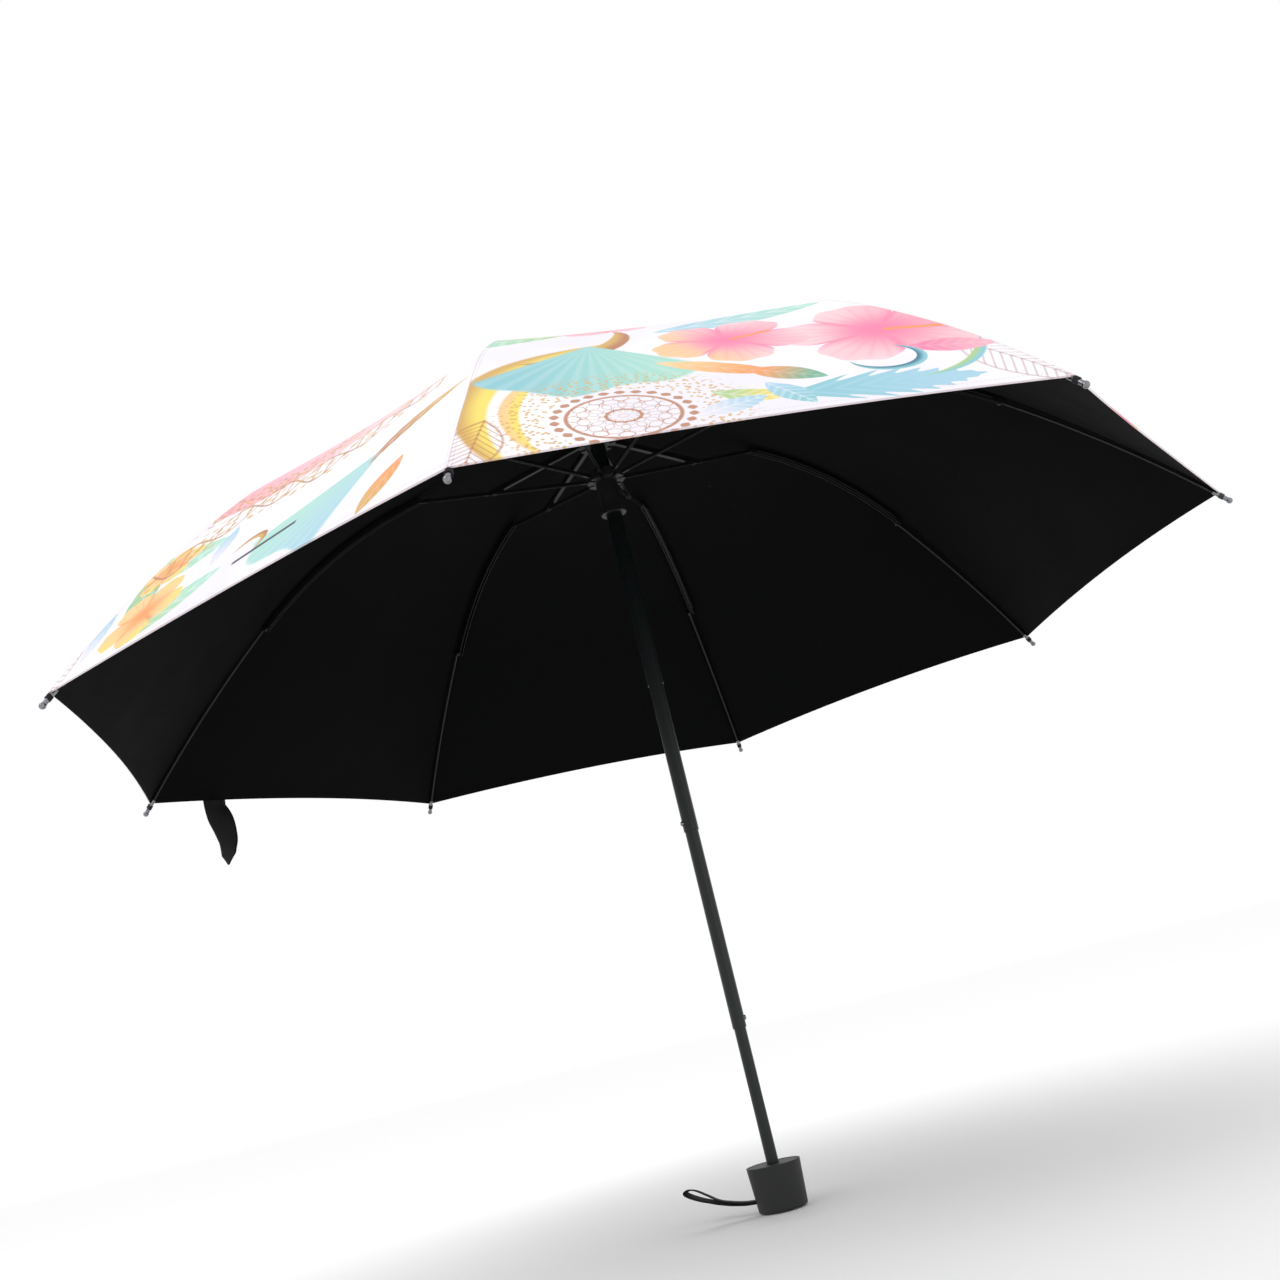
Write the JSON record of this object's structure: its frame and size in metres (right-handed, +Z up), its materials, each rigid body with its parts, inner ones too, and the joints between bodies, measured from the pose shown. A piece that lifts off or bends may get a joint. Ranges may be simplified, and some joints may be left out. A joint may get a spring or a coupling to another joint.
{
  "type": "folding umbrella",
  "caption": "Open compact umbrella: floral satin canopy on hinged folding ribs, telescopic black shaft with a sliding runner, and a short black cup handle with a wrist loop.",
  "frame": {"origin": "centre of the handle's flat base", "axes": "+Z up the shaft to the crown, +X over rib 0, +Y over rib 2"},
  "size_m": [0.9646, 0.9646, 0.6647],
  "materials": {
    "canopy_fabric": "satin weave, printed outside and black inside",
    "webbing": "woven ribbon",
    "handle_plastic": "soft-touch matte",
    "frame_plastic": "satin moulded",
    "tube_metal": "black lacquer, satin gloss",
    "rib_metal": "black lacquer",
    "bright_metal": "plated steel"
  },
  "bodies": {
    "handle": {"handle_body": "handle_plastic", "handle_cap": "handle_plastic", "handle_socket": "handle_plastic", "lower_tube": "tube_metal", "strap_pin": "bright_metal", "wrist_strap": "webbing"},
    "third_tube": {"third_tube": "tube_metal"},
    "second_tube": {"second_tube": "tube_metal"},
    "top_tube": {"top_tube": "tube_metal", "crown_notch": "frame_plastic", "crown_pivot_wire": "bright_metal", "top_cap": "frame_plastic", "canopy": "canopy_fabric"},
    "runner": {"runner": "frame_plastic", "runner_pivot_wire": "bright_metal"},
    "runner_catch": {"runner_catch": "frame_plastic"},
    "lock_button_1": {"lock_button_1": "bright_metal"},
    "lock_button_2": {"lock_button_2": "bright_metal"},
    "lock_button_3": {"lock_button_3": "bright_metal"},
    "top_rib_0": {"top_rib_0": "rib_metal"},
    "stretcher_0": {"stretcher_0": "rib_metal"},
    "middle_rib_0": {"middle_rib_0": "rib_metal"},
    "outer_rib_0": {"outer_rib_0": "rib_metal", "rib_tip_0": "bright_metal"},
    "top_rib_1": {"top_rib_1": "rib_metal"},
    "stretcher_1": {"stretcher_1": "rib_metal"},
    "middle_rib_1": {"middle_rib_1": "rib_metal"},
    "outer_rib_1": {"outer_rib_1": "rib_metal", "rib_tip_1": "bright_metal"},
    "top_rib_2": {"top_rib_2": "rib_metal"},
    "stretcher_2": {"stretcher_2": "rib_metal"},
    "middle_rib_2": {"middle_rib_2": "rib_metal"},
    "outer_rib_2": {"outer_rib_2": "rib_metal", "rib_tip_2": "bright_metal"},
    "top_rib_3": {"top_rib_3": "rib_metal"},
    "stretcher_3": {"stretcher_3": "rib_metal"},
    "middle_rib_3": {"middle_rib_3": "rib_metal"},
    "outer_rib_3": {"outer_rib_3": "rib_metal", "rib_tip_3": "bright_metal"},
    "top_rib_4": {"top_rib_4": "rib_metal"},
    "stretcher_4": {"stretcher_4": "rib_metal"},
    "middle_rib_4": {"middle_rib_4": "rib_metal"},
    "outer_rib_4": {"outer_rib_4": "rib_metal", "rib_tip_4": "bright_metal"},
    "top_rib_5": {"top_rib_5": "rib_metal"},
    "stretcher_5": {"stretcher_5": "rib_metal"},
    "middle_rib_5": {"middle_rib_5": "rib_metal"},
    "outer_rib_5": {"outer_rib_5": "rib_metal", "rib_tip_5": "bright_metal"},
    "top_rib_6": {"top_rib_6": "rib_metal"},
    "stretcher_6": {"stretcher_6": "rib_metal"},
    "middle_rib_6": {"middle_rib_6": "rib_metal"},
    "outer_rib_6": {"outer_rib_6": "rib_metal", "rib_tip_6": "bright_metal", "tie_strap": "webbing"},
    "top_rib_7": {"top_rib_7": "rib_metal"},
    "stretcher_7": {"stretcher_7": "rib_metal"},
    "middle_rib_7": {"middle_rib_7": "rib_metal"},
    "outer_rib_7": {"outer_rib_7": "rib_metal", "rib_tip_7": "bright_metal"}
  },
  "joints": [
    {"name": "third_tube_slide", "type": "slide", "parent": "handle", "child": "third_tube", "axis": [0, 0, 1], "range_m": [-0.102, 0]},
    {"name": "second_tube_slide", "type": "slide", "parent": "third_tube", "child": "second_tube", "axis": [0, 0, 1], "range_m": [-0.148, 0]},
    {"name": "top_tube_slide", "type": "slide", "parent": "second_tube", "child": "top_tube", "axis": [0, 0, 1], "range_m": [-0.115, 0]},
    {"name": "runner_slide", "type": "slide", "parent": "top_tube", "child": "runner", "axis": [0, 0, 1], "range_m": [-0.14716, 0], "deforming": ["canopy", "tie_strap"]},
    {"name": "lock_button_1_press", "type": "slide", "parent": "third_tube", "child": "lock_button_1", "axis": [0.5736, -0.8192, 0], "range_m": [0, 0.00055], "stiffness_N_per_m": 300},
    {"name": "lock_button_2_press", "type": "slide", "parent": "second_tube", "child": "lock_button_2", "axis": [-0.5736, 0.8192, 0], "range_m": [0, 0.00055], "stiffness_N_per_m": 300},
    {"name": "lock_button_3_press", "type": "slide", "parent": "top_tube", "child": "lock_button_3", "axis": [0.866, -0.5, 0], "range_m": [0, 0.00055], "stiffness_N_per_m": 300},
    {"name": "runner_catch_press", "type": "slide", "parent": "runner", "child": "runner_catch", "axis": [0.9239, 0.3827, 0], "range_m": [0, 0.001], "stiffness_N_per_m": 300},
    {"name": "top_rib_0_hinge", "type": "hinge", "parent": "top_tube", "child": "top_rib_0", "pos_m": [0.014, 0, 0.65], "axis": [0, 1, 0], "range_deg": [0, 75.68]},
    {"name": "stretcher_0_hinge", "type": "hinge", "parent": "top_rib_0", "child": "stretcher_0", "pos_m": [0.10416, 0, 0.6317], "axis": [0, 1, 0], "range_deg": [-151.36, 0]},
    {"name": "middle_rib_0_hinge", "type": "hinge", "parent": "stretcher_0", "child": "middle_rib_0", "pos_m": [0.17277, 0, 0.64563], "axis": [0, 1, 0], "range_deg": [0, 142.8]},
    {"name": "outer_rib_0_hinge", "type": "hinge", "parent": "middle_rib_0", "child": "outer_rib_0", "pos_m": [0.338, 0, 0.572], "axis": [0, 1, 0], "range_deg": [-196.99, 0]},
    {"name": "top_rib_1_hinge", "type": "hinge", "parent": "top_tube", "child": "top_rib_1", "pos_m": [0.0099, 0.0099, 0.65], "axis": [-0.7071, 0.7071, 0], "range_deg": [0, 75.68]},
    {"name": "stretcher_1_hinge", "type": "hinge", "parent": "top_rib_1", "child": "stretcher_1", "pos_m": [0.07365, 0.07365, 0.6317], "axis": [-0.7071, 0.7071, 0], "range_deg": [-151.36, 0]},
    {"name": "middle_rib_1_hinge", "type": "hinge", "parent": "stretcher_1", "child": "middle_rib_1", "pos_m": [0.12216, 0.12216, 0.64563], "axis": [-0.7071, 0.7071, 0], "range_deg": [0, 142.8]},
    {"name": "outer_rib_1_hinge", "type": "hinge", "parent": "middle_rib_1", "child": "outer_rib_1", "pos_m": [0.239, 0.239, 0.572], "axis": [-0.7071, 0.7071, 0], "range_deg": [-196.99, 0]},
    {"name": "top_rib_2_hinge", "type": "hinge", "parent": "top_tube", "child": "top_rib_2", "pos_m": [0, 0.014, 0.65], "axis": [-1, 0, 0], "range_deg": [0, 75.68]},
    {"name": "stretcher_2_hinge", "type": "hinge", "parent": "top_rib_2", "child": "stretcher_2", "pos_m": [0, 0.10416, 0.6317], "axis": [-1, 0, 0], "range_deg": [-151.36, 0]},
    {"name": "middle_rib_2_hinge", "type": "hinge", "parent": "stretcher_2", "child": "middle_rib_2", "pos_m": [0, 0.17277, 0.64563], "axis": [-1, 0, 0], "range_deg": [0, 142.8]},
    {"name": "outer_rib_2_hinge", "type": "hinge", "parent": "middle_rib_2", "child": "outer_rib_2", "pos_m": [0, 0.338, 0.572], "axis": [-1, 0, 0], "range_deg": [-196.99, 0]},
    {"name": "top_rib_3_hinge", "type": "hinge", "parent": "top_tube", "child": "top_rib_3", "pos_m": [-0.0099, 0.0099, 0.65], "axis": [-0.7071, -0.7071, 0], "range_deg": [0, 75.68]},
    {"name": "stretcher_3_hinge", "type": "hinge", "parent": "top_rib_3", "child": "stretcher_3", "pos_m": [-0.07365, 0.07365, 0.6317], "axis": [-0.7071, -0.7071, 0], "range_deg": [-151.36, 0]},
    {"name": "middle_rib_3_hinge", "type": "hinge", "parent": "stretcher_3", "child": "middle_rib_3", "pos_m": [-0.12216, 0.12216, 0.64563], "axis": [-0.7071, -0.7071, 0], "range_deg": [0, 142.8]},
    {"name": "outer_rib_3_hinge", "type": "hinge", "parent": "middle_rib_3", "child": "outer_rib_3", "pos_m": [-0.239, 0.239, 0.572], "axis": [-0.7071, -0.7071, 0], "range_deg": [-196.99, 0]},
    {"name": "top_rib_4_hinge", "type": "hinge", "parent": "top_tube", "child": "top_rib_4", "pos_m": [-0.014, 0, 0.65], "axis": [0, -1, 0], "range_deg": [0, 75.68]},
    {"name": "stretcher_4_hinge", "type": "hinge", "parent": "top_rib_4", "child": "stretcher_4", "pos_m": [-0.10416, 0, 0.6317], "axis": [0, -1, 0], "range_deg": [-151.36, 0]},
    {"name": "middle_rib_4_hinge", "type": "hinge", "parent": "stretcher_4", "child": "middle_rib_4", "pos_m": [-0.17277, 0, 0.64563], "axis": [0, -1, 0], "range_deg": [0, 142.8]},
    {"name": "outer_rib_4_hinge", "type": "hinge", "parent": "middle_rib_4", "child": "outer_rib_4", "pos_m": [-0.338, 0, 0.572], "axis": [0, -1, 0], "range_deg": [-196.99, 0]},
    {"name": "top_rib_5_hinge", "type": "hinge", "parent": "top_tube", "child": "top_rib_5", "pos_m": [-0.0099, -0.0099, 0.65], "axis": [0.7071, -0.7071, 0], "range_deg": [0, 75.68]},
    {"name": "stretcher_5_hinge", "type": "hinge", "parent": "top_rib_5", "child": "stretcher_5", "pos_m": [-0.07365, -0.07365, 0.6317], "axis": [0.7071, -0.7071, 0], "range_deg": [-151.36, 0]},
    {"name": "middle_rib_5_hinge", "type": "hinge", "parent": "stretcher_5", "child": "middle_rib_5", "pos_m": [-0.12216, -0.12216, 0.64563], "axis": [0.7071, -0.7071, 0], "range_deg": [0, 142.8]},
    {"name": "outer_rib_5_hinge", "type": "hinge", "parent": "middle_rib_5", "child": "outer_rib_5", "pos_m": [-0.239, -0.239, 0.572], "axis": [0.7071, -0.7071, 0], "range_deg": [-196.99, 0]},
    {"name": "top_rib_6_hinge", "type": "hinge", "parent": "top_tube", "child": "top_rib_6", "pos_m": [0, -0.014, 0.65], "axis": [1, 0, 0], "range_deg": [0, 75.68]},
    {"name": "stretcher_6_hinge", "type": "hinge", "parent": "top_rib_6", "child": "stretcher_6", "pos_m": [0, -0.10416, 0.6317], "axis": [1, 0, 0], "range_deg": [-151.36, 0]},
    {"name": "middle_rib_6_hinge", "type": "hinge", "parent": "stretcher_6", "child": "middle_rib_6", "pos_m": [0, -0.17277, 0.64563], "axis": [1, 0, 0], "range_deg": [0, 142.8]},
    {"name": "outer_rib_6_hinge", "type": "hinge", "parent": "middle_rib_6", "child": "outer_rib_6", "pos_m": [0, -0.338, 0.572], "axis": [1, 0, 0], "range_deg": [-196.99, 0]},
    {"name": "top_rib_7_hinge", "type": "hinge", "parent": "top_tube", "child": "top_rib_7", "pos_m": [0.0099, -0.0099, 0.65], "axis": [0.7071, 0.7071, 0], "range_deg": [0, 75.68]},
    {"name": "stretcher_7_hinge", "type": "hinge", "parent": "top_rib_7", "child": "stretcher_7", "pos_m": [0.07365, -0.07365, 0.6317], "axis": [0.7071, 0.7071, 0], "range_deg": [-151.36, 0]},
    {"name": "middle_rib_7_hinge", "type": "hinge", "parent": "stretcher_7", "child": "middle_rib_7", "pos_m": [0.12216, -0.12216, 0.64563], "axis": [0.7071, 0.7071, 0], "range_deg": [0, 142.8]},
    {"name": "outer_rib_7_hinge", "type": "hinge", "parent": "middle_rib_7", "child": "outer_rib_7", "pos_m": [0.239, -0.239, 0.572], "axis": [0.7071, 0.7071, 0], "range_deg": [-196.99, 0]}
  ],
  "couplings": [
    {"joint": "top_rib_0_hinge", "follows": "runner_slide", "rad_per_m": -8.958},
    {"joint": "stretcher_0_hinge", "follows": "runner_slide", "rad_per_m": 17.916},
    {"joint": "middle_rib_0_hinge", "follows": "runner_slide", "rad_per_m": -16.902},
    {"joint": "outer_rib_0_hinge", "follows": "runner_slide", "rad_per_m": 23.316},
    {"joint": "top_rib_1_hinge", "follows": "runner_slide", "rad_per_m": -8.958},
    {"joint": "stretcher_1_hinge", "follows": "runner_slide", "rad_per_m": 17.916},
    {"joint": "middle_rib_1_hinge", "follows": "runner_slide", "rad_per_m": -16.902},
    {"joint": "outer_rib_1_hinge", "follows": "runner_slide", "rad_per_m": 23.316},
    {"joint": "top_rib_2_hinge", "follows": "runner_slide", "rad_per_m": -8.958},
    {"joint": "stretcher_2_hinge", "follows": "runner_slide", "rad_per_m": 17.916},
    {"joint": "middle_rib_2_hinge", "follows": "runner_slide", "rad_per_m": -16.902},
    {"joint": "outer_rib_2_hinge", "follows": "runner_slide", "rad_per_m": 23.316},
    {"joint": "top_rib_3_hinge", "follows": "runner_slide", "rad_per_m": -8.958},
    {"joint": "stretcher_3_hinge", "follows": "runner_slide", "rad_per_m": 17.916},
    {"joint": "middle_rib_3_hinge", "follows": "runner_slide", "rad_per_m": -16.902},
    {"joint": "outer_rib_3_hinge", "follows": "runner_slide", "rad_per_m": 23.316},
    {"joint": "top_rib_4_hinge", "follows": "runner_slide", "rad_per_m": -8.958},
    {"joint": "stretcher_4_hinge", "follows": "runner_slide", "rad_per_m": 17.916},
    {"joint": "middle_rib_4_hinge", "follows": "runner_slide", "rad_per_m": -16.902},
    {"joint": "outer_rib_4_hinge", "follows": "runner_slide", "rad_per_m": 23.316},
    {"joint": "top_rib_5_hinge", "follows": "runner_slide", "rad_per_m": -8.958},
    {"joint": "stretcher_5_hinge", "follows": "runner_slide", "rad_per_m": 17.916},
    {"joint": "middle_rib_5_hinge", "follows": "runner_slide", "rad_per_m": -16.902},
    {"joint": "outer_rib_5_hinge", "follows": "runner_slide", "rad_per_m": 23.316},
    {"joint": "top_rib_6_hinge", "follows": "runner_slide", "rad_per_m": -8.958},
    {"joint": "stretcher_6_hinge", "follows": "runner_slide", "rad_per_m": 17.916},
    {"joint": "middle_rib_6_hinge", "follows": "runner_slide", "rad_per_m": -16.902},
    {"joint": "outer_rib_6_hinge", "follows": "runner_slide", "rad_per_m": 23.316},
    {"joint": "top_rib_7_hinge", "follows": "runner_slide", "rad_per_m": -8.958},
    {"joint": "stretcher_7_hinge", "follows": "runner_slide", "rad_per_m": 17.916},
    {"joint": "middle_rib_7_hinge", "follows": "runner_slide", "rad_per_m": -16.902},
    {"joint": "outer_rib_7_hinge", "follows": "runner_slide", "rad_per_m": 23.316}
  ]
}
